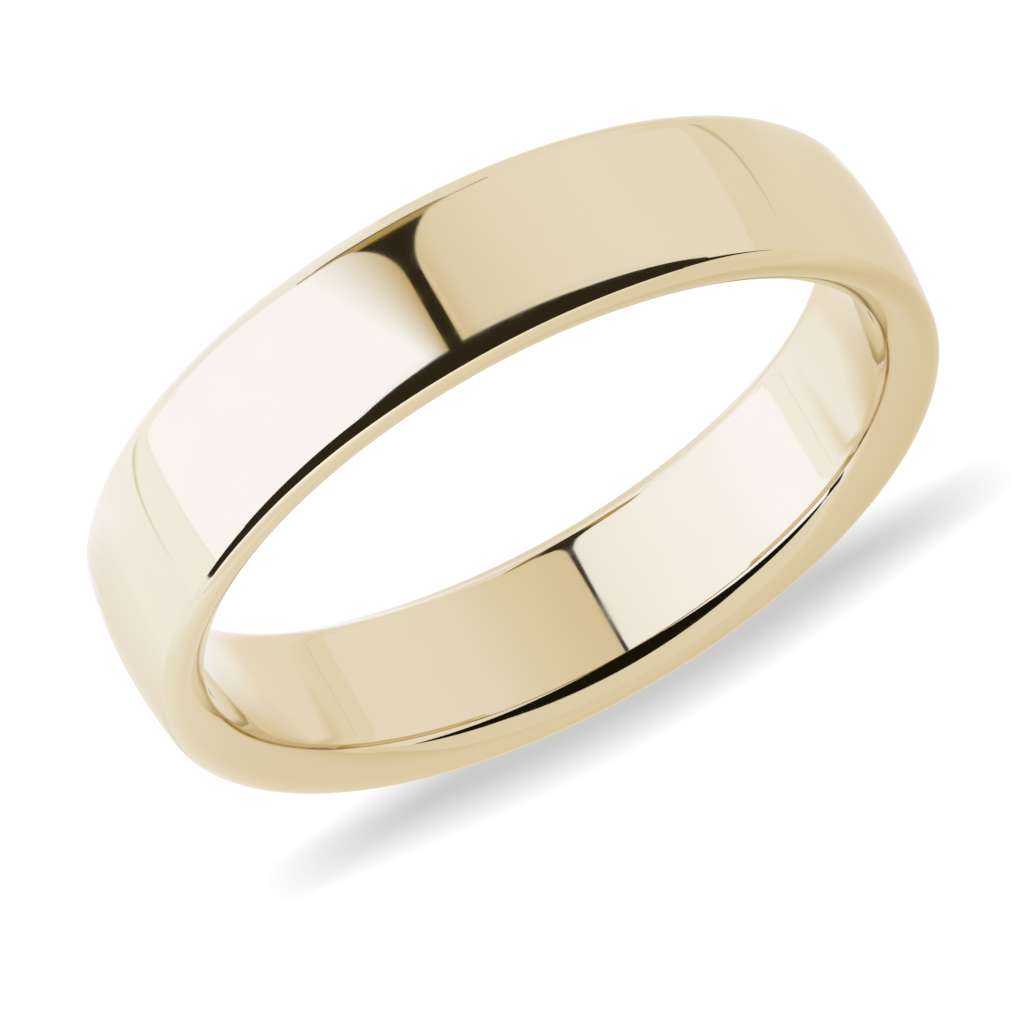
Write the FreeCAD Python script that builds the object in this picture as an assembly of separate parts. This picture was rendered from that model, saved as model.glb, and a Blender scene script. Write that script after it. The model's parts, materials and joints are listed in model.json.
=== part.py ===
"""Wedding band with a low dome outside and a flat, eased finger hole, turned from one piece of gold.

The finger hole runs along Y and the band stands upright on its outer rim.
The origin is the middle of the finger hole, and +Z is up. Millimetres throughout.

Half of the section is a chain of five tangent rounds, from the finger to the outside.
A surface tilt of 0 degrees faces the finger, 90 degrees faces sideways along the hole,
and 180 degrees faces straight outwards.
"""
import os
import FreeCAD
import Part
from math import cos, radians, sin

# The three sizes a ring is ordered by
FINGER_DIAMETER = 19.4      # US size 9 1/2
BAND_WIDTH = 5.0            # side to side along the finger
WALL = 1.6                  # from the finger to the top of the dome

# The straight middle of the hole, which grips the finger
LAND_LENGTH = 3.0

# Surface tilt, in degrees, where each round hands over to the next
FINGER_TILT = 0.0           # the straight land of the hole
EASE_TILT = 8.5             # end of the soft ease beside the land
EDGE_TILT = 46.0            # end of the rounded inner edge
FLANK_TILT = 62.0           # end of the nearly flat side
SIDE_TILT = 90.0            # the widest point, part of the way round the outer corner
CORNER_TILT = 171.0         # end of the outer corner
TOP_TILT = 180.0            # the middle of the dome

# Radii chosen by hand; the ease, flank and dome radii follow from them
EDGE_RADIUS = 0.4
CORNER_RADIUS = 0.5

HALF_WIDTH = BAND_WIDTH / 2
HALF_LAND = LAND_LENGTH / 2
BORE_RADIUS = FINGER_DIAMETER / 2
HOLE_AXIS = FreeCAD.Vector(0, 1, 0)
CENTRE = FreeCAD.Vector(0, 0, 0)


def across(tilt_from, tilt_to):
    """Travel along the hole, per millimetre of radius, while the surface tilts."""
    return sin(radians(tilt_to)) - sin(radians(tilt_from))


def outward(tilt_from, tilt_to):
    """Travel away from the finger, per millimetre of radius, while the surface tilts."""
    return cos(radians(tilt_from)) - cos(radians(tilt_to))


def dome_radius():
    """Radius of the domed outside, which spans the width between the two corners."""
    half_dome = HALF_WIDTH - CORNER_RADIUS * across(CORNER_TILT, SIDE_TILT)
    return half_dome / across(TOP_TILT, CORNER_TILT)


def ease_radius(flank_radius):
    """Radius that carries the ease from the end of the land to the inner edge."""
    edge = EDGE_RADIUS * across(EASE_TILT, EDGE_TILT)
    flank = flank_radius * across(EDGE_TILT, FLANK_TILT)
    corner = CORNER_RADIUS * across(FLANK_TILT, SIDE_TILT)
    return (HALF_WIDTH - HALF_LAND - edge - flank - corner) / across(FINGER_TILT, EASE_TILT)


def wall_for(flank_radius):
    """Wall thickness that the five rounds add up to with this flank radius."""
    ease = ease_radius(flank_radius) * outward(FINGER_TILT, EASE_TILT)
    edge = EDGE_RADIUS * outward(EASE_TILT, EDGE_TILT)
    flank = flank_radius * outward(EDGE_TILT, FLANK_TILT)
    corner = CORNER_RADIUS * outward(FLANK_TILT, CORNER_TILT)
    dome = dome_radius() * outward(CORNER_TILT, TOP_TILT)
    return ease + edge + flank + corner + dome


def flank_radius_for_wall():
    """Flank radius that gives the ordered wall, which grows in step with it."""
    wall_without_flank = wall_for(0.0)
    wall_per_radius = wall_for(1.0) - wall_without_flank
    return (WALL - wall_without_flank) / wall_per_radius


def along_round(start, radius, tilt_from, tilt_to):
    """The point a round reaches as the surface tilts from one angle to another."""
    travel_across = radius * across(tilt_from, tilt_to)
    travel_outward = radius * outward(tilt_from, tilt_to)
    return start + FreeCAD.Vector(0, travel_across, travel_outward)


def round_edge(start, radius, tilt_from, tilt_to):
    """One round of the section as an arc through its start, middle and end."""
    middle = along_round(start, radius, tilt_from, (tilt_from + tilt_to) / 2)
    end = along_round(start, radius, tilt_from, tilt_to)
    return Part.Arc(start, middle, end).toShape()


def half_section():
    """The edges of the section on the +Y side, from the finger out to the dome."""
    flank_radius = flank_radius_for_wall()
    rounds = [
        (ease_radius(flank_radius), FINGER_TILT, EASE_TILT),
        (EDGE_RADIUS, EASE_TILT, EDGE_TILT),
        (flank_radius, EDGE_TILT, FLANK_TILT),
        (CORNER_RADIUS, FLANK_TILT, CORNER_TILT),
        (dome_radius(), CORNER_TILT, TOP_TILT),
    ]
    point = FreeCAD.Vector(0, HALF_LAND, BORE_RADIUS)
    edges = []
    for radius, tilt_from, tilt_to in rounds:
        edges.append(round_edge(point, radius, tilt_from, tilt_to))
        point = along_round(point, radius, tilt_from, tilt_to)
    return edges


def section_face():
    """The whole section: the half section, its mirror image and the straight land."""
    half = half_section()
    mirrored = [edge.mirror(CENTRE, HOLE_AXIS) for edge in half]
    land_start = FreeCAD.Vector(0, -HALF_LAND, BORE_RADIUS)
    land_end = FreeCAD.Vector(0, HALF_LAND, BORE_RADIUS)
    land = Part.makeLine(land_start, land_end)
    outline = Part.Wire(Part.__sortEdges__(half + mirrored + [land]))
    return Part.Face(outline)


def make_band():
    """The band: the section turned once round the finger hole."""
    return section_face().revolve(CENTRE, HOLE_AXIS, 360)


os.makedirs("parts", exist_ok=True)
band = make_band()
band.exportStep("parts/band.step")
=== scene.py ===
"""Looks and studio for the wedding band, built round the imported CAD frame."""
import json
from math import atan2, cos, degrees, exp, pi, radians, sin

import bpy
import numpy as np
from mathutils import Matrix, Vector


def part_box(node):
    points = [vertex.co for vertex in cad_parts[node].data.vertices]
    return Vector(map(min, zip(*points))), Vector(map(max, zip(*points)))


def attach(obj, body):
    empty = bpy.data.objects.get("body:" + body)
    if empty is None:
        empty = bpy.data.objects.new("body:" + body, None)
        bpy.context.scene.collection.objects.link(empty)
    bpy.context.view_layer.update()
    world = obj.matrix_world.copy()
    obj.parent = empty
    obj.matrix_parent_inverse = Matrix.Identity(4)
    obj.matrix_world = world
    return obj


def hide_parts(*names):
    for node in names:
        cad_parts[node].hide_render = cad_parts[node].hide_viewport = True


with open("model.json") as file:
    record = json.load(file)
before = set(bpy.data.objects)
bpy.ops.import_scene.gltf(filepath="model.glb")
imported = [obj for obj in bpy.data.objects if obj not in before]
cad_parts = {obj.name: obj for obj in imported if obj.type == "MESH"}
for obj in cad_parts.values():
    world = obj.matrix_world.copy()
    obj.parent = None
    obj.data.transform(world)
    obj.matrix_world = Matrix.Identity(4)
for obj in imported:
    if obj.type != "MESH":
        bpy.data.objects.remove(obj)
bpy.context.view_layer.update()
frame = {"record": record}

# ---------------------------------------------------------------- the band's sizes
MM = 0.001
_, band_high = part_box("band")
finger_mount = frame["record"]["mounts"][0]
RIM_RADIUS = band_high.z
HALF_WIDTH = band_high.y
BORE_RADIUS = finger_mount["dims"]["r_mm"] * MM
HALF_LAND = finger_mount["dims"]["length_mm"] * MM / 2
INSIDE_BOX = 1e-6                 # how far the visible skin keeps inside the CAD box

# Surface tilt where each round of the section ends: 0 faces the finger, 180 outwards
EASE_TILT, EDGE_TILT, FLANK_TILT, SIDE_TILT, CORNER_TILT, TOP_TILT = 8.5, 46, 62, 90, 171, 180
EDGE_RADIUS = 0.4 * MM
CORNER_RADIUS = 0.5 * MM


def across(a, b):
    return sin(radians(b)) - sin(radians(a))


def outward(a, b):
    return cos(radians(a)) - cos(radians(b))


def section_rounds(half_width, wall):
    """(radius, tilt from, tilt to) of the five rounds from the finger to the top."""
    dome_width = half_width - CORNER_RADIUS * across(CORNER_TILT, SIDE_TILT)
    dome = dome_width / across(TOP_TILT, CORNER_TILT)
    # The ease and the flank share what the other rounds leave of the width and of the wall
    width_left = (half_width - HALF_LAND
                  - EDGE_RADIUS * across(EASE_TILT, EDGE_TILT)
                  - CORNER_RADIUS * across(FLANK_TILT, SIDE_TILT))
    wall_left = (wall
                 - EDGE_RADIUS * outward(EASE_TILT, EDGE_TILT)
                 - CORNER_RADIUS * outward(FLANK_TILT, CORNER_TILT)
                 - dome * outward(CORNER_TILT, TOP_TILT))
    sums = np.array([[across(0, EASE_TILT), across(EDGE_TILT, FLANK_TILT)],
                     [outward(0, EASE_TILT), outward(EDGE_TILT, FLANK_TILT)]])
    ease, flank = np.linalg.solve(sums, [width_left, wall_left])
    return [(ease, 0, EASE_TILT), (EDGE_RADIUS, EASE_TILT, EDGE_TILT),
            (flank, EDGE_TILT, FLANK_TILT), (CORNER_RADIUS, FLANK_TILT, CORNER_TILT),
            (dome, CORNER_TILT, TOP_TILT)]


ROUND_STEPS = (10, 12, 8, 22, 12)  # mesh steps along each round
LAND_STEPS = 4
TURN_STEPS = 640


def half_section():
    """Points (along the hole, out from its axis) from the end of the land to the top."""
    y, r = HALF_LAND, BORE_RADIUS
    points = [(y, r)]
    wall = RIM_RADIUS - INSIDE_BOX - BORE_RADIUS
    rounds = section_rounds(HALF_WIDTH - INSIDE_BOX, wall)
    for (radius, a, b), steps in zip(rounds, ROUND_STEPS):
        tilts = np.linspace(a, b, steps + 1)
        for t0, t1 in zip(tilts, tilts[1:]):
            y += radius * across(t0, t1)
            r += radius * outward(t0, t1)
            points.append((y, r))
    return points


def band_mesh():
    """The closed section, carried round the hole's axis."""
    half = half_section()
    land = [(y, BORE_RADIUS) for y in np.linspace(-HALF_LAND, HALF_LAND, LAND_STEPS + 1)[1:-1]]
    loop = np.array(half + [(-y, r) for y, r in half[-2::-1]] + land)
    around = np.linspace(0, 2 * pi, TURN_STEPS, endpoint=False)
    n, m = len(loop), TURN_STEPS
    verts = np.empty((m, n, 3))
    verts[..., 0] = loop[None, :, 1] * np.sin(around)[:, None]
    verts[..., 1] = loop[None, :, 0]
    verts[..., 2] = loop[None, :, 1] * np.cos(around)[:, None]
    faces = [(i * n + j, i * n + (j + 1) % n, (i + 1) % m * n + (j + 1) % n, (i + 1) % m * n + j)
             for i in range(m) for j in range(n)]
    mesh = bpy.data.meshes.new("band_polished")
    mesh.from_pydata(verts.reshape(-1, 3).tolist(), [], faces)
    mesh.update()
    for p in mesh.polygons:
        p.use_smooth = True
    return mesh


# ---------------------------------------------------------------- gold
GOLD = (0.72, 0.60, 0.37)
COLOUR_DRIFT = 0.015              # how much darker and lighter the colour gets, as a share
WEAR_SCALE, WAVE_SCALE, HAIRLINE_SCALE = 700, 380, 9000           # noise cells per metre
LAP_PER_RADIAN = 1.2 * MM         # far less than the true arc, so that hairlines run long
POLISH_ROUGHNESS = (0.030, 0.060)
HAIRLINE_ROUGHNESS = 0.05
EDGE_ROUGHNESS = 0.05
EDGE_WEAR_FROM = 2.15 * MM        # from the middle of the band's width
WAVE_HEIGHT, HAIRLINE_HEIGHT = 0.0008 * MM, 0.00003 * MM


class Nodes:
    """Short ways to add and join the shader nodes of a material or a world."""

    def __init__(self, owner):
        owner.use_nodes = True
        self.tree = owner.node_tree

    def add(self, kind, **settings):
        node = self.tree.nodes.new("ShaderNode" + kind)
        for name, value in settings.items():
            setattr(node, name, value)
        return node

    def join(self, output, socket):
        self.tree.links.new(output, socket)

    def math(self, operation, first, second=0.0):
        node = self.add("Math", operation=operation)
        for socket, value in zip(node.inputs, (first, second)):
            if isinstance(value, (int, float)):
                socket.default_value = value
            else:
                self.join(value, socket)
        return node.outputs[0]

    def noise(self, vector, scale, detail):
        node = self.add("TexNoise")
        node.inputs["Scale"].default_value = scale
        node.inputs["Detail"].default_value = detail
        self.join(vector, node.inputs["Vector"])
        return node.outputs["Fac"]

    def ramp(self, value, low, high, at_low, at_high):
        node = self.add("MapRange", interpolation_type="SMOOTHSTEP")
        for name, number in (("From Min", low), ("From Max", high),
                             ("To Min", at_low), ("To Max", at_high)):
            node.inputs[name].default_value = number
        self.join(value, node.inputs["Value"])
        return node.outputs["Result"]

    def bump(self, height, depth, under=None):
        node = self.add("Bump")
        node.inputs["Distance"].default_value = depth
        self.join(height, node.inputs["Height"])
        if under:
            self.join(under, node.inputs["Normal"])
        return node.outputs["Normal"]


def gold_material():
    """Hand-polished gold: faint unevenness, hairlines round the hole, and softer, worn edges."""
    material = bpy.data.materials.new("polished_gold")
    n = Nodes(material)
    shader = n.tree.nodes["Principled BSDF"]
    shader.inputs["Metallic"].default_value = 1.0
    place = n.add("TexCoord").outputs["Object"]
    parts = n.add("SeparateXYZ")
    n.join(place, parts.inputs[0])
    x, y, z = parts.outputs

    # Round the hole, across the band and out from the axis, for marks that run round the band
    turn = n.math("ARCTAN2", x, z)
    out = n.math("SQRT", n.math("ADD", n.math("MULTIPLY", x, x), n.math("MULTIPLY", z, z)))
    lap = n.add("CombineXYZ")
    n.join(n.math("MULTIPLY", turn, LAP_PER_RADIAN), lap.inputs[0])
    n.join(y, lap.inputs[1])
    n.join(out, lap.inputs[2])
    hairlines = n.noise(lap.outputs[0], HAIRLINE_SCALE, detail=3)
    wear_patches = n.noise(place, WEAR_SCALE, detail=4)
    waves = n.noise(place, WAVE_SCALE, detail=1)

    colour = n.add("Mix", data_type="RGBA")
    for socket, share in (("A", 1 - COLOUR_DRIFT), ("B", 1 + COLOUR_DRIFT)):
        colour.inputs[socket].default_value = (*(c * share for c in GOLD), 1)
    n.join(wear_patches, colour.inputs["Factor"])
    n.join(colour.outputs["Result"], shader.inputs["Base Color"])

    polish = n.ramp(wear_patches, 0.3, 0.7, *POLISH_ROUGHNESS)
    lines = n.ramp(hairlines, 0.62, 0.80, 0.0, HAIRLINE_ROUGHNESS)
    edge = n.ramp(n.math("ABSOLUTE", y), EDGE_WEAR_FROM, HALF_WIDTH, 0.0, EDGE_ROUGHNESS)
    worn = n.math("MULTIPLY", edge, wear_patches)
    n.join(n.math("ADD", n.math("ADD", polish, lines), worn), shader.inputs["Roughness"])

    uneven = n.bump(waves, WAVE_HEIGHT)
    n.join(n.bump(hairlines, HAIRLINE_HEIGHT, uneven), shader.inputs["Normal"])
    return material


# ---------------------------------------------------------------- studio: shared tools
# The gold is a mirror, so the studio is a set of glowing sheets that only reflections see;
# besides the softboxes, which stand for lamps, they are painted reflections that glow with no
# lamp.
# Overhead sheets are placed by direction, in degrees: psi turns round the hole's axis from
# straight up (+ to the right) and lean tips towards the back.
STUDIO_RADIUS = 350 * MM
FLOOR_Z = -RIM_RADIUS
DARK = (0.036, 0.029, 0.020)      # the unlit room


def shows(red, green, blue):
    """The glow that polished gold turns into this 8-bit colour."""
    linear = [((c / 255 + 0.055) / 1.055) ** 2.4 for c in (red, green, blue)]
    return tuple(c / g for c, g in zip(linear, GOLD))


def mix(a, b, t):
    return tuple(x + (y - x) * t for x, y in zip(a, b))


def ease_in_out(t):
    t = min(1, max(0, t))
    return t * t * (3 - 2 * t)


def ramp(x, stops):
    """The colour at x between (place, colour) stops in rising order."""
    places = [place for place, colour in stops]
    channels = zip(*(colour for place, colour in stops))
    return tuple(float(np.interp(x, places, channel)) for channel in channels)


def times(a, b):
    return tuple(x * y for x, y in zip(a, b))


def glow_material(name, one_sided):
    """Emission from the mesh's own colours; a one-sided sheet is clear from behind."""
    material = bpy.data.materials.new(name)
    n = Nodes(material)
    n.tree.nodes.clear()
    colour = n.add("VertexColor", layer_name="glow")
    emission = n.add("Emission")
    output = n.add("OutputMaterial")
    n.join(colour.outputs["Color"], emission.inputs["Color"])
    surface = emission.outputs[0]
    if one_sided:
        mixer = n.add("MixShader")
        n.join(n.add("NewGeometry").outputs["Backfacing"], mixer.inputs[0])
        n.join(surface, mixer.inputs[1])
        n.join(n.add("BsdfTransparent").outputs[0], mixer.inputs[2])
        surface = mixer.outputs[0]
    n.join(surface, output.inputs["Surface"])
    material.cycles.emission_sampling = "NONE"
    return material


def hide_from_all_but_reflections(obj):
    obj.visible_camera = False
    obj.visible_diffuse = False
    obj.visible_shadow = False
    obj.visible_transmission = False
    obj.visible_volume_scatter = False


def sheet(name, rows, seen_from=None):
    """A glowing sheet from rows of (point, glow), seen from both sides, "above" or "below"."""
    width = len(rows[0])
    cells = [cell for row in rows for cell in row]
    mesh = bpy.data.meshes.new(name)
    faces = [(i * width + j, i * width + j + 1, (i + 1) * width + j + 1, (i + 1) * width + j)
             for i in range(len(rows) - 1) for j in range(width - 1)]
    mesh.from_pydata([point for point, glow in cells], [], faces)
    if seen_from and (mesh.polygons[0].normal.z > 0) != (seen_from == "above"):
        mesh.flip_normals()
    layer = mesh.color_attributes.new("glow", "FLOAT_COLOR", "POINT")
    for spot, (point, glow) in zip(layer.data, cells):
        spot.color = (*glow, 1)
    mesh.materials.append(glow_material(name, seen_from is not None))
    obj = bpy.data.objects.new(name, mesh)
    bpy.context.scene.collection.objects.link(obj)
    hide_from_all_but_reflections(obj)


def direction(psi, lean):
    p, l = radians(psi), radians(lean)
    return Vector((cos(l) * sin(p), sin(l), cos(l) * cos(p)))


def spread(start, end, count=48, power=1.6):
    """Numbers from start to end, closer together near the start."""
    return [start + (end - start) * (i / count) ** power for i in range(count + 1)]


def overhead(name, psis, front, back, glow, radius=STUDIO_RADIUS):
    """A curved sheet between two edges given as lean over psi."""
    sheet(name, [[(direction(psi, lean) * radius, glow(psi, lean))
                  for lean in spread(front(psi), back(psi), count=40, power=1.9)]
                 for psi in psis])


ROUNDNESS = 2.3                   # of every sheet's corners; 2 is a circle's


def corner(x, reach, drop):
    """How far a rounded corner has dropped at x from the edge."""
    if x >= reach:
        return 0.0
    return drop * (1 - (1 - ((reach - x) / reach) ** ROUNDNESS) ** (1 / ROUNDNESS))


# ---------------------------------------------------------------- studio: overhead
# Two big softboxes leave a dark gap between them, which flares at the back
LEFT_GAP, RIGHT_GAP = -0.8, 3.2
SIDE_PSI = 89
LEFT_FRONT, LEFT_FRONT_SAG = 9.3, 19.5
RIGHT_FRONT, RIGHT_FRONT_SAG = 9.7, 1.8
LEFT_BACK, RIGHT_BACK = 42.7, 42.9
CORNER_REACH, LEFT_CORNER_DROP, RIGHT_CORNER_DROP = 20, 15, 16
LIP = ((0, 1.10), (0.35, 1.10), (0.75, 0.90), (1.6, 1.0))         # (degrees in, brightness)

LEFT_WHITE = shows(248, 243, 236)
LEFT_SHADE = shows(190, 162, 100)
LEFT_SHADE_REACH, LEFT_SHADE_WIDENS = 6, 22                       # in front, and more at the back
# Colours of the right softbox by psi
RIGHT_STOPS = [(3.2, shows(196, 170, 116)), (4.0, shows(222, 203, 163)),
               (5.0, shows(213, 191, 148)), (10, shows(220, 204, 170)),
               (18, shows(223, 207, 174)), (34, shows(229, 214, 184)),
               (55, shows(229, 216, 188)), (89, shows(229, 214, 187))]


def back_sag(turned):
    """How far a softbox's back edge has come down, by degrees round from straight up."""
    return 3 * ease_in_out((turned - 50) / 38)


def left_front(psi):
    return LEFT_FRONT - LEFT_FRONT_SAG * (1 - exp(-((abs(psi) / 60) ** 2.2)))


def left_back(psi):
    return LEFT_BACK - corner(LEFT_GAP - psi, CORNER_REACH, LEFT_CORNER_DROP) - back_sag(-psi)


def right_front(psi):
    return RIGHT_FRONT - RIGHT_FRONT_SAG * ease_in_out((psi - 60) / 30)


def right_back(psi):
    return RIGHT_BACK - corner(psi - RIGHT_GAP, CORNER_REACH, RIGHT_CORNER_DROP) - back_sag(psi)


def lip(distance):
    """A softbox's bright lip and the soft line inside it, by degrees from its front edge."""
    return float(np.interp(distance, *zip(*LIP)))


def left_glow(psi, lean):
    reach = LEFT_SHADE_REACH + LEFT_SHADE_WIDENS * (max(0, lean - 8) / 34) ** 1.3
    across_shade = min(1, max(0, (LEFT_GAP - psi) / reach))
    glow = mix(LEFT_SHADE, LEFT_WHITE, 1 - (1 - across_shade) ** 1.5)
    return tuple(c * lip(lean - left_front(psi)) for c in glow)


def right_glow(psi, lean):
    return tuple(c * lip(lean - right_front(psi)) for c in ramp(psi, RIGHT_STOPS))


overhead("left_softbox", spread(LEFT_GAP, -SIDE_PSI), left_front, left_back, left_glow)
overhead("right_softbox", spread(RIGHT_GAP, SIDE_PSI), right_front, right_back, right_glow)

# Behind them, painted reflections that glow with no lamp: a golden rail across the gap, and the
# pale back wall
RAIL_GLOW = (0.62, 0.49, 0.22)
RAIL_FRONT, RAIL_BACK = 41.2, 43.6
RAIL_RADIUS, WALL_RADIUS = 1.1 * STUDIO_RADIUS, 1.2 * STUDIO_RADIUS
WALL_FRONT, WALL_TOP = 41.9, 89
WALL_PSI = 110
WALL_LEFT, WALL_RIGHT = shows(236, 230, 214), shows(227, 214, 184)


def wall_front(psi):
    """Where the wall starts: further back over the gap, and further forward at the sides."""
    over_gap = 2.4 * ease_in_out(2 - abs(psi + 2) / 17)
    at_sides = 3.4 * ease_in_out((abs(psi) - 46) / 38)
    at_ends = 8 * ease_in_out((abs(psi) - 84) / 6)
    return WALL_FRONT + over_gap - at_sides - at_ends


overhead("rear_rail", spread(-30, 34, power=1), lambda psi: RAIL_FRONT, lambda psi: RAIL_BACK,
         lambda psi, lean: RAIL_GLOW, RAIL_RADIUS)
overhead("rear_wall", spread(-WALL_PSI, WALL_PSI, power=1), wall_front, lambda psi: WALL_TOP,
         lambda psi, lean: mix(WALL_LEFT, WALL_RIGHT, ease_in_out(psi / 60 + 0.5)), WALL_RADIUS)

# ---------------------------------------------------------------- studio: sides and front
# Both softboxes come down at the sides as skirts, each with a slimmer band behind it
SKIRT_X, SKIRT_TOP, SKIRT_BACK = 113 * MM, 45 * MM, 84 * MM
SKIRT_FOOT, SKIRT_SAG = 16.5 * MM, 3.6                            # sags with the square of y
SKIRT_SLANT = 0.3
# Painted shade along a skirt's foot: the height of its second row, and how high the shade reaches
FOOT_SHADE_ROW, SHADED_FOOT_HEIGHT = 0.8 * MM, 1 * MM
BAND_BACK, BAND_BEHIND = 93 * MM, 1 * MM
SIDE_CORNER = (12 * MM, 14 * MM)  # reach and height of the back corners


def skirt(name, side, front, colour, foot_shade, band_colour):
    """An upright sheet at one side, darkened along its foot by painted shade, and the band behind
    it.
    """
    upright, behind = [], []
    for s in np.linspace(0, 1, 41):
        y = front + (SKIRT_BACK - front) * s
        foot = SKIRT_FOOT - SKIRT_SAG * max(0, y) ** 2 + corner(SKIRT_BACK - y, *SIDE_CORNER)
        row = []
        for z in (foot, foot + FOOT_SHADE_ROW, foot + 2 * MM, *np.linspace(foot + 6 * MM, SKIRT_TOP, 8)):
            glow = colour(side * degrees(atan2(SKIRT_X, z)))
            if z < foot + SHADED_FOOT_HEIGHT:
                glow = times(glow, foot_shade)
            row.append(((side * SKIRT_X, y + s * SKIRT_SLANT * (z - foot), z), glow))
        upright.append(row)
        y = front + (BAND_BACK - front) * s
        foot = FLOOR_Z + corner(BAND_BACK - y, *SIDE_CORNER)
        x = side * (SKIRT_X + BAND_BEHIND)
        behind.append([((x, y, z), band_colour) for z in (foot, SKIRT_TOP)])
    sheet(name, upright)
    sheet(name + "_band", behind)


# The left skirt gets painted shade along its foot, the right skirt none
skirt("left_skirt", -1, -17 * MM, lambda psi: LEFT_WHITE, (0.88, 0.86, 0.78),
      shows(240, 233, 216))
skirt("right_skirt", 1, 13 * MM, lambda psi: ramp(psi, RIGHT_STOPS), (1, 1, 1),
      shows(224, 208, 174))

# A pale board stands close in front of the band, glowing with no lamp as a painted reflection,
# with a painted highlight along its top edge, which is given in millimetres across and up
BOARD_Y = -42
BOARD_TOP = [(-84, -4), (-72, 6), (-60, 12), (-45, 24), (-28, 31), (-13, 32.5), (0, 34.5),
             (15, 39.5), (37, 44.5), (65, 51), (100, 60), (114, 62)]
BOARD_STOPS = [(-50, (1.21, 1.28, 1.65)), (-20, (1.19, 1.26, 1.60)), (0, (1.09, 1.09, 1.20)),
               (25, (1.00, 1.00, 1.03)), (100, (0.98, 0.96, 0.96))]
BOARD_FOOT = (0.98, 0.99, 1.02)
# Painted highlight: how much brighter the board glows along its top edge
BOARD_TOP_HIGHLIGHT = 1.25


def front_board():
    rows = []
    for x, top in BOARD_TOP:
        glow = ramp(x, BOARD_STOPS)
        bright = tuple(c * BOARD_TOP_HIGHLIGHT for c in glow)
        low = mix(glow, BOARD_FOOT, 0.7)
        heights = (FLOOR_Z / MM, top - 26, top - 12, top - 3, top)
        rows.append([((x * MM, BOARD_Y * MM, max(z * MM, FLOOR_Z)), c)
                     for z, c in zip(heights, (low, low, glow, bright, bright))])
    sheet("front_board", rows)


# Left of it the room stays dark, down to an edge that rises towards the band
DARK_FRONT, DARK_BACK, DARK_TOP = -80, -17, 16


def dark_left():
    rows = []
    for y in np.linspace(DARK_FRONT, DARK_BACK, 12):
        low = -4.5 + 0.3 * (y + 59)
        rows.append([((-SKIRT_X, y * MM, z * MM), DARK) for z in (low, DARK_TOP)])
    sheet("dark_left", rows)


# Another pale board, glowing with no lamp as a painted reflection, turns back along the right
# side, and its back edge curves forward higher up
SIDE_BOARD_GLOW = (1.03, 1.02, 1.06)
SIDE_BOARD_FRONT, SIDE_BOARD_BACK, SIDE_BOARD_TOP = -45 * MM, 11 * MM, 60 * MM
SIDE_BOARD_CURVE = 12


def side_board():
    x = SKIRT_X - BAND_BEHIND
    rows = []
    for z in np.linspace(FLOOR_Z, SIDE_BOARD_TOP, 20):
        back = SIDE_BOARD_BACK - SIDE_BOARD_CURVE * max(0, z) ** 2
        rows.append([((x, y, z), SIDE_BOARD_GLOW) for y in (SIDE_BOARD_FRONT, back)])
    sheet("side_board", rows)


front_board()
dark_left()
side_board()

# ---------------------------------------------------------------- studio: floor
# The floor as the reflections see it, a painted reflection on a glowing sheet, in colours by
# millimetres across: darker beside the band, bright behind it, warmer to the right
BESIDE = [(-60, (1.20, 1.32, 1.80)), (-36, (1.19, 1.31, 1.70)), (-27, (1.12, 1.19, 1.47)),
          (-21, (1.07, 1.09, 1.22)), (-18, (1.01, 1.00, 1.04)), (-14, (0.94, 0.92, 0.88)),
          (-11, (0.94, 0.92, 0.86)), (11, (0.91, 0.87, 0.79)), (17, (0.94, 0.88, 0.81)),
          (21, (0.96, 0.94, 0.90)), (27, (0.99, 0.99, 1.00)), (36, (1.03, 1.04, 1.10)),
          (60, (1.04, 1.05, 1.14))]
BEHIND = [(-18, (1.22, 1.35, 1.88)), (-6, (1.18, 1.29, 1.73)), (-1.5, (1.16, 1.25, 1.60)),
          (1.2, (1.08, 1.09, 1.24)), (5, (1.07, 1.09, 1.24)), (18, (1.06, 1.10, 1.24)),
          (40, (1.02, 1.03, 1.10))]
BEFORE = [(-50, (1.16, 1.29, 1.75)), (-33, (1.10, 1.19, 1.45)), (-20, (1.09, 1.14, 1.30)),
          (-13, (1.05, 1.07, 1.18)), (-5, (1.00, 0.99, 1.01)), (0, (0.975, 0.97, 1.00)),
          (5, (0.95, 0.93, 0.92)), (13, (0.92, 0.88, 0.80)), (20, (0.90, 0.85, 0.74)),
          (33, (0.98, 0.97, 0.98)), (50, (1.04, 1.03, 1.10))]
CONTACT_SHADE = (0.97, 0.93, 0.77)      # painted shade: the floor's reflection dims and warms where the band meets the floor
GLOW_REACH = 1500                 # millimetres each way


def floor_glow(x, y):
    """The bright part starts further back to the sides, and mixes in over more of the floor."""
    wide = abs(x)
    bright_from = 4.6 + 0.82 * min(9, max(0, wide - 9)) + 0.4 * max(0, wide - 18)
    to_behind = ease_in_out((y - bright_from) / (2 + 0.1 * wide) + 0.5)
    glow = mix(ramp(x, BESIDE), ramp(x, BEHIND), to_behind)
    glow = mix(glow, ramp(x, BEFORE), ease_in_out((1 - y) / 3))
    # Painted shade where the band meets the floor, fading out to the sides and away from it
    contact_shade_share = ease_in_out((4.5 - abs(y)) / 2) * ease_in_out((12 - wide) / 6)
    return times(glow, mix((1, 1, 1), CONTACT_SHADE, contact_shade_share))


outwards = spread(0, GLOW_REACH, count=110, power=2.6)
lines = [-v for v in outwards[:0:-1]] + outwards
sheet("floor_glow", [[((x * MM, y * MM, FLOOR_Z + 0.1 * MM), floor_glow(x, y)) for x in lines]
                     for y in lines])

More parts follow.
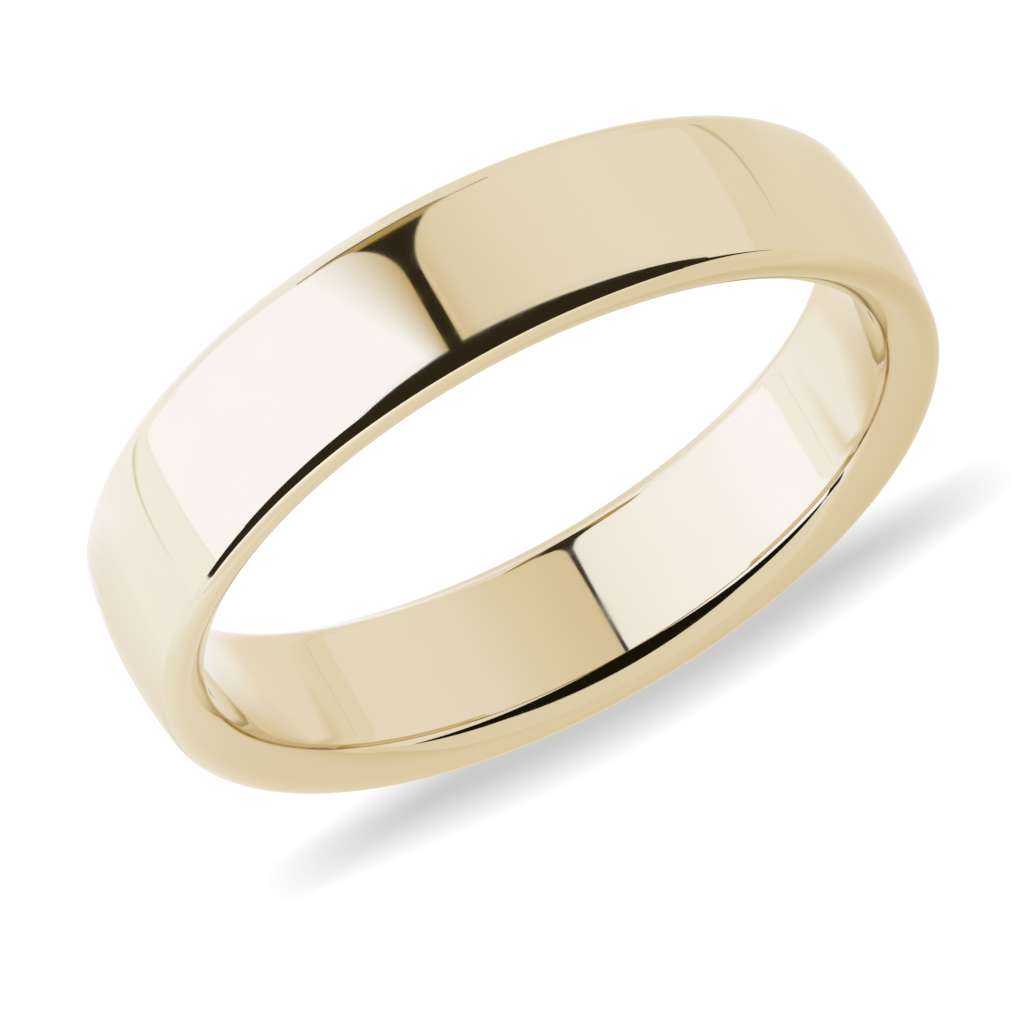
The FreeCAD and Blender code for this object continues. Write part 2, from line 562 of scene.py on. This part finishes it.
# A glowing mat at each side, a painted reflection where a softbox's band meets the floor, with a
# darker line painted along its inner edge, which is given in millimetres across and back
MAT_EDGE = [(110, 35), (92, 38.5), (80, 40), (72, 42), (73, 48), (82, 58), (100, 74), (113, 84)]
MAT_END = SKIRT_X / MM + 1.5
MAT_SLANT = 0.35


def mat(name, side, colour, edge_line):
    rows = []
    for x, y in MAT_EDGE:
        row = []
        for step, glow in ((0, edge_line), (0.12, edge_line), (0.24, colour), (1, colour)):
            out = x + (MAT_END - x) * step
            place = (side * out * MM, (y + (out - x) * MAT_SLANT) * MM, FLOOR_Z + 0.2 * MM)
            row.append((place, glow))
        rows.append(row)
    sheet(name, rows)


mat("left_mat", -1, shows(240, 233, 216), shows(218, 204, 170))
mat("right_mat", 1, shows(224, 208, 175), shows(200, 180, 132))

# ---------------------------------------------------------------- studio: over the hole
# Small glowing sheets over the hole paint the inside's reflections and give it its own narrower
# gap; only rays from below see them. Places are in millimetres across and towards the back, and
# reach is out from the gap.
INNER_Z = 3 * MM
BEHIND_INNER_Z = INNER_Z + 0.3 * MM
INNER_STEPS = 60
INNER_REACH = 110
INNER_FRONT, INNER_FRONT_FAR, FRONT_STEP = -0.6, 2.8, 8
INNER_LEFT = [(0, shows(238, 230, 213)), (3, shows(243, 235, 222)), (16, LEFT_WHITE)]
INNER_RIGHT = [(0, shows(213, 192, 148)), (2.2, shows(218, 199, 159)), (5, shows(223, 207, 174)),
               (8, shows(228, 213, 185)), (16, shows(230, 215, 187)), (110, shows(228, 213, 183))]
GAP_WIDENS = 0.0115               # the gap's edges curve apart by this times the square of y


def left_gap_edge(y):
    return 0.2 + GAP_WIDENS * max(0, y - 5) ** 2 + 1.1 * ease_in_out((y - 11.5) / 3)


def right_gap_edge(y):
    return -0.03 + GAP_WIDENS * max(0, y - 5.5) ** 2 + 0.6 * ease_in_out((y - 11) / 3)


def inner_sheet(name, side, stops, gap_edge, near_back, near_reach):
    """One side of the gap; its back edge is at near_back until near_reach, then runs away."""
    rows = []
    for s in np.linspace(0, 1, INNER_STEPS):
        row = []
        for k in np.linspace(0, 1, INNER_STEPS):
            reach = k ** 2.6 * INNER_REACH
            far_back = 48 + 0.9 * reach
            back = near_back + (far_back - near_back) * ease_in_out((reach - near_reach) / 2.5)
            front = INNER_FRONT if reach < FRONT_STEP else INNER_FRONT_FAR
            y = front + (back - front) * s
            x = side * (gap_edge(y) + reach)
            row.append(((x * MM, y * MM, INNER_Z), ramp(reach, stops)))
        rows.append(row)
    sheet(name, rows, seen_from="below")


inner_sheet("inner_left", -1, INNER_LEFT, left_gap_edge, near_back=13.4, near_reach=2.2)
inner_sheet("inner_right", 1, INNER_RIGHT, right_gap_edge, near_back=15.5, near_reach=1.8)
sheet("inner_gap", [[((x * MM, y * MM, BEHIND_INNER_Z), DARK) for x in (-2.4, 2.0)]
                    for y in (-0.7, 14.1)], seen_from="below")

# A glowing strip just inside the bore, low at each side, paints the near rim's reflection there,
# pale but for one thin darker line and a golden low end; it runs by degrees round from straight
# up
FILL_RADIUS = 9.69 * MM
FILL_LOW, FILL_HIGH, FILL_FADE = 143, 80, 128
FILL_FRONT, FILL_BACK, FILL_LINE = -2.6, 1.6, -1.2
FILL_END = (0.55, 0.43, 0.21)


def fill_glow(turn, y, pale, line_colour):
    line = max(0, 1 - abs(y - FILL_LINE) / (0.5 + 0.05 * max(0, turn - FILL_FADE)))
    glow = mix(pale, FILL_END, ease_in_out((turn - FILL_FADE) / 14))
    return mix(glow, line_colour, line)


def fill_strip(name, side, pale, line_colour):
    rows = []
    for turn in np.linspace(FILL_LOW, FILL_HIGH, 64):
        x, z = side * FILL_RADIUS * sin(radians(turn)), FILL_RADIUS * cos(radians(turn))
        rows.append([((x, y * MM, z), fill_glow(turn, y, pale, line_colour))
                     for y in np.linspace(FILL_FRONT, FILL_BACK, 22)])
    sheet(name, rows, seen_from="above")


fill_strip("left_fill", -1, (0.90, 0.85, 0.74), (0.62, 0.50, 0.25))
fill_strip("right_fill", 1, (0.82, 0.74, 0.55), (0.30, 0.22, 0.09))

# A dark bar with glowing golden sides, painted reflections, closes the inside's gap at the back
BAR_FRONT, BAR_END = 14.0, 42
BAR_LEFT, BAR_MIDDLE, BAR_RIGHT = shows(176, 147, 82), shows(58, 44, 22), shows(150, 122, 66)
BAR_STOPS = [(-5, BAR_LEFT), (-2.6, BAR_LEFT), (-1.6, BAR_MIDDLE), (1.2, BAR_MIDDLE),
             (2.2, BAR_RIGHT), (4, BAR_RIGHT)]
sheet("inner_bar", [[((x * MM, y * MM, BEHIND_INNER_Z), ramp(x, BAR_STOPS))
                     for x in np.linspace(-6, 4, 30)] for y in (BAR_FRONT, BAR_END)],
      seen_from="below")

# Over the front of the hole, sheets paint the reflections of the softboxes' fronts and of a
# glowing low ledge, with the dark of the room between them
DEEP_DARK = (0.012, 0.010, 0.006)
LEDGE_GLOW = (1.10, 1.22, 1.55)
LEDGE_DEPTH = 6
FRONT_WIDE = 60
SOFTBOX_FRONT = -2.4


def dark_start(x):
    """Where the softboxes' front edges end."""
    if x < 0:
        return -0.9 + 1.0 * max(x, -6.3) + 0.37 * min(0, x + 6.3)
    return -0.9 - 1.0 * min(x, 6.5) - 0.79 * max(0, x - 6.5)


def ledge_start(x):
    return -52 + 0.07 * x


def over_front(name, xs, first, last, glow):
    """A sheet from first(x) to last(x), over the front half of the hole and beyond it."""
    rows = [[((x * MM, y * MM, INNER_Z), glow(x)) for y in np.linspace(first(x), last(x), 8)]
            for x in xs]
    sheet(name, rows, seen_from="below")


over_front("front_dark", np.linspace(-FRONT_WIDE, 57, 80), dark_start, ledge_start,
           lambda x: DEEP_DARK)
over_front("front_ledge", np.linspace(-FRONT_WIDE, FRONT_WIDE, 40), ledge_start,
           lambda x: ledge_start(x) - LEDGE_DEPTH, lambda x: LEDGE_GLOW)
over_front("front_left_sheet", np.linspace(-FRONT_WIDE, -1.7, 60), lambda x: SOFTBOX_FRONT,
           dark_start, lambda x: ramp(-x, INNER_LEFT))
over_front("front_right_sheet", np.linspace(1.6, FRONT_WIDE, 60), lambda x: SOFTBOX_FRONT,
           dark_start, lambda x: ramp(x, INNER_RIGHT))

# ---------------------------------------------------------------- studio: what the camera sees
FLOOR_HALF = 2.0                  # metres from the middle of the floor to its edge
FLOOR_GREY = (0.2, 0.2, 0.2, 1)
FLOOR_LIGHT, FLOOR_STRENGTH = (0.985, 1.0, 1.03, 1), 0.55
FLAG_HALF_LENGTH, FLAG_HALF_WIDTH = 12.4, 1.27
FLAG_Y, FLAG_LIFT = -1.95, 5 * MM
FLAG_TAPER = 1.9                  # 0 is an ellipse, and more draws the ends out thinner
SUN_ENERGY, SUN_ANGLE = 8.0, 20
ROOM_WHITE = 1.05


def floor():
    """A white floor with some light of its own, which the gold doesn't mirror."""
    mesh = bpy.data.meshes.new("floor")
    corners = [(x * FLOOR_HALF, y * FLOOR_HALF, FLOOR_Z)
               for x, y in ((-1, -1), (1, -1), (1, 1), (-1, 1))]
    mesh.from_pydata(corners, [], [(0, 1, 2, 3)])
    obj = bpy.data.objects.new("floor", mesh)
    bpy.context.scene.collection.objects.link(obj)
    obj.visible_glossy = False
    material = bpy.data.materials.new("white_floor")
    material.use_nodes = True
    shader = material.node_tree.nodes["Principled BSDF"]
    shader.inputs["Base Color"].default_value = FLOOR_GREY
    shader.inputs["Roughness"].default_value = 1.0
    shader.inputs["Specular IOR Level"].default_value = 0.0
    shader.inputs["Emission Color"].default_value = FLOOR_LIGHT
    shader.inputs["Emission Strength"].default_value = FLOOR_STRENGTH
    material.cycles.emission_sampling = "NONE"
    mesh.materials.append(material)


def shadow_flag():
    """A slim oval above the floor, seen by nothing but the sun."""
    mesh = bpy.data.meshes.new("shadow_flag")
    points = []
    for turn in np.linspace(0, 2 * pi, 48, endpoint=False):
        y = FLAG_Y + FLAG_HALF_WIDTH * sin(turn) * abs(sin(turn)) ** FLAG_TAPER
        points.append((FLAG_HALF_LENGTH * MM * cos(turn), y * MM, FLOOR_Z + FLAG_LIFT))
    mesh.from_pydata(points, [], [tuple(range(len(points)))])
    obj = bpy.data.objects.new("shadow_flag", mesh)
    bpy.context.scene.collection.objects.link(obj)
    hide_from_all_but_reflections(obj)
    obj.visible_glossy = False
    obj.visible_shadow = True
    return obj


def sunlight(flag):
    """A soft sun straight overhead; the flag alone casts a shadow in it."""
    sun = bpy.data.lights.new("overhead", "SUN")
    sun.energy = SUN_ENERGY
    sun.angle = radians(SUN_ANGLE)
    obj = bpy.data.objects.new("overhead", sun)
    obj.visible_glossy = False
    bpy.context.scene.collection.objects.link(obj)
    blockers = bpy.data.collections.new("sun_blockers")
    blockers.objects.link(flag)
    obj.light_linking.blocker_collection = blockers


def room():
    """White to the camera and dark to everything else."""
    world = bpy.data.worlds.new("studio")
    bpy.context.scene.world = world
    n = Nodes(world)
    n.tree.nodes.clear()
    mixer = n.add("MixShader")
    n.join(n.add("LightPath").outputs["Is Camera Ray"], mixer.inputs["Fac"])
    for socket, colour, strength in ((1, DARK, 1.0), (2, (1, 1, 1), ROOM_WHITE)):
        background = n.add("Background")
        background.inputs["Color"].default_value = (*colour, 1)
        background.inputs["Strength"].default_value = strength
        n.join(background.outputs["Background"], mixer.inputs[socket])
    n.join(mixer.outputs["Shader"], n.add("OutputWorld").inputs["Surface"])


floor()
sunlight(shadow_flag())
room()

# ---------------------------------------------------------------- the band
band = bpy.data.objects.new("band_polished", band_mesh())
bpy.context.scene.collection.objects.link(band)
band.data.materials.append(gold_material())
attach(band, "root")
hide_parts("band")

# ---------------------------------------------------------------- camera
ELEVATION, ROLL = 64.6, -29.7
CAMERA_DISTANCE = 0.4553
LENS, SENSOR = 626.06, 36
HOLE_RIGHT, HOLE_ABOVE = 0.051 * MM, 1.3755 * MM        # the hole's middle, from the view's


def camera():
    """Looks down on the band from the front, rolled, with the hole near the middle."""
    tip, roll = radians(ELEVATION), radians(ROLL)
    toward = Vector((0, -cos(tip), sin(tip)))
    side = Vector((1, 0, 0))
    top = toward.cross(side)
    right = side * cos(roll) + top * sin(roll)
    up = top * cos(roll) - side * sin(roll)
    data = bpy.data.cameras.new("camera")
    data.sensor_width = SENSOR
    data.lens = LENS
    data.clip_start, data.clip_end = 0.01, 20
    obj = bpy.data.objects.new("camera", data)
    bpy.context.scene.collection.objects.link(obj)
    place = toward * CAMERA_DISTANCE - right * HOLE_RIGHT - up * HOLE_ABOVE
    facing = Matrix((right, up, toward)).transposed().to_4x4()
    obj.matrix_world = Matrix.Translation(place) @ facing
    bpy.context.scene.camera = obj


camera()
bpy.context.scene.view_settings.view_transform = "Standard"
bpy.context.view_layer.update()
